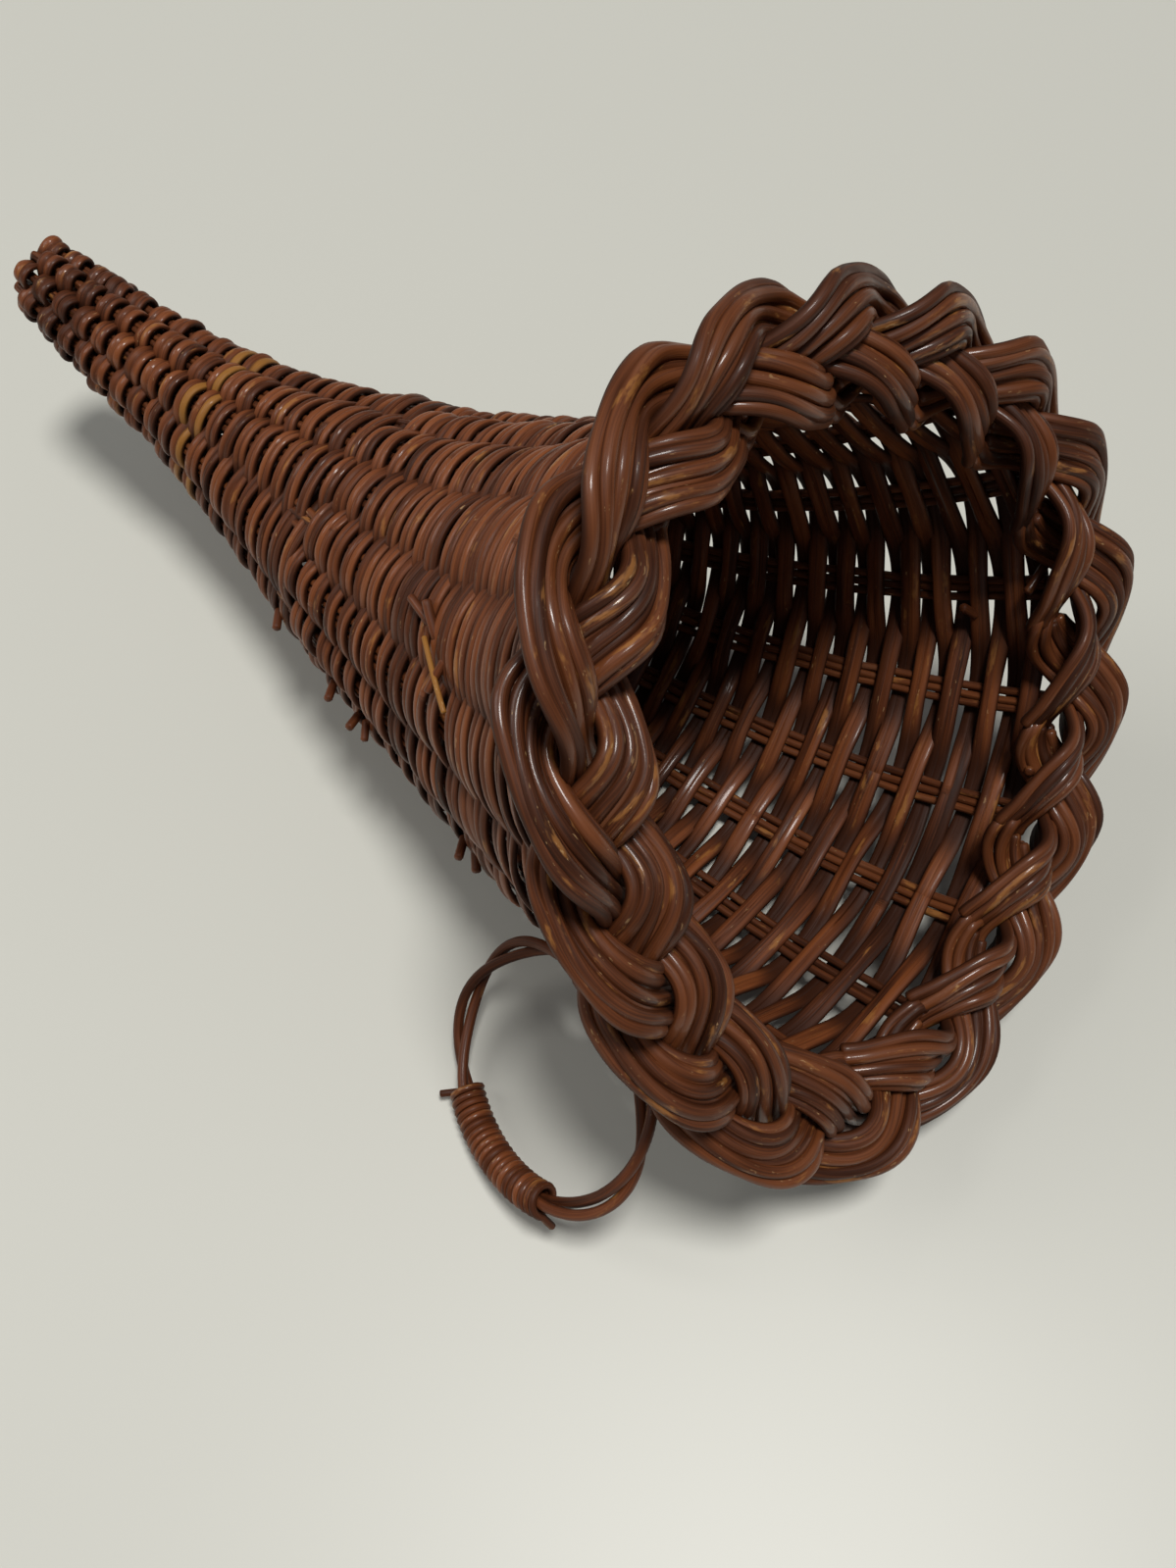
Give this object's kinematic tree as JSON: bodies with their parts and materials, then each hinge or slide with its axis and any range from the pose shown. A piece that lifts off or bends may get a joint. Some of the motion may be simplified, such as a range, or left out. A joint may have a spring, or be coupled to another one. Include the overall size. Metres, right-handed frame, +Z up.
{
  "type": "cornucopia basket",
  "caption": "Horn-shaped woven reed basket with a plaited border round its wide mouth, a curved tapering tail and a bound hanging ring threaded through the weave at its flank.",
  "frame": {"origin": "middle of the basket's outline on the table, where it lies at rest", "axes": "+Y along the length towards the tail, -Y side is the mouth, +Z up"},
  "size_m": [0.2102, 0.351, 0.1796],
  "materials": {
    "stake_reed": "brown stained and lightly varnished reed",
    "weaver_reed": "brown stained and lightly varnished reed",
    "ring_reed": "dark brown stained reed"
  },
  "bodies": {
    "basket": {"stake_01": "stake_reed", "stake_02": "stake_reed", "stake_03": "stake_reed", "stake_04": "stake_reed", "stake_05": "stake_reed", "stake_06": "stake_reed", "stake_07": "stake_reed", "stake_08": "stake_reed", "stake_09": "stake_reed", "stake_10": "stake_reed", "stake_11": "stake_reed", "stake_12": "stake_reed", "stake_13": "stake_reed", "stake_14": "stake_reed", "stake_15": "stake_reed", "stake_16": "stake_reed", "stake_17": "stake_reed", "weaver_01": "weaver_reed", "weaver_02": "weaver_reed", "weaver_03": "weaver_reed", "weaver_04": "weaver_reed", "weaver_05": "weaver_reed", "weaver_06": "weaver_reed", "weaver_07": "weaver_reed", "weaver_08": "weaver_reed", "weaver_09": "weaver_reed", "weaver_10": "weaver_reed", "weaver_11": "weaver_reed", "weaver_12": "weaver_reed", "weaver_13": "weaver_reed", "weaver_14": "weaver_reed", "weaver_15": "weaver_reed"},
    "ring": {"ring_rod_inner": "ring_reed", "ring_rod_outer": "ring_reed", "ring_binding": "ring_reed"}
  },
  "joints": [
    {"name": "ring_swing", "type": "hinge", "parent": "basket", "child": "ring", "pos_m": [-0.05728, -0.09342, 0.04563], "axis": [0.273, 0.9112, -0.3086], "range_deg": [-45, 50]}
  ]
}
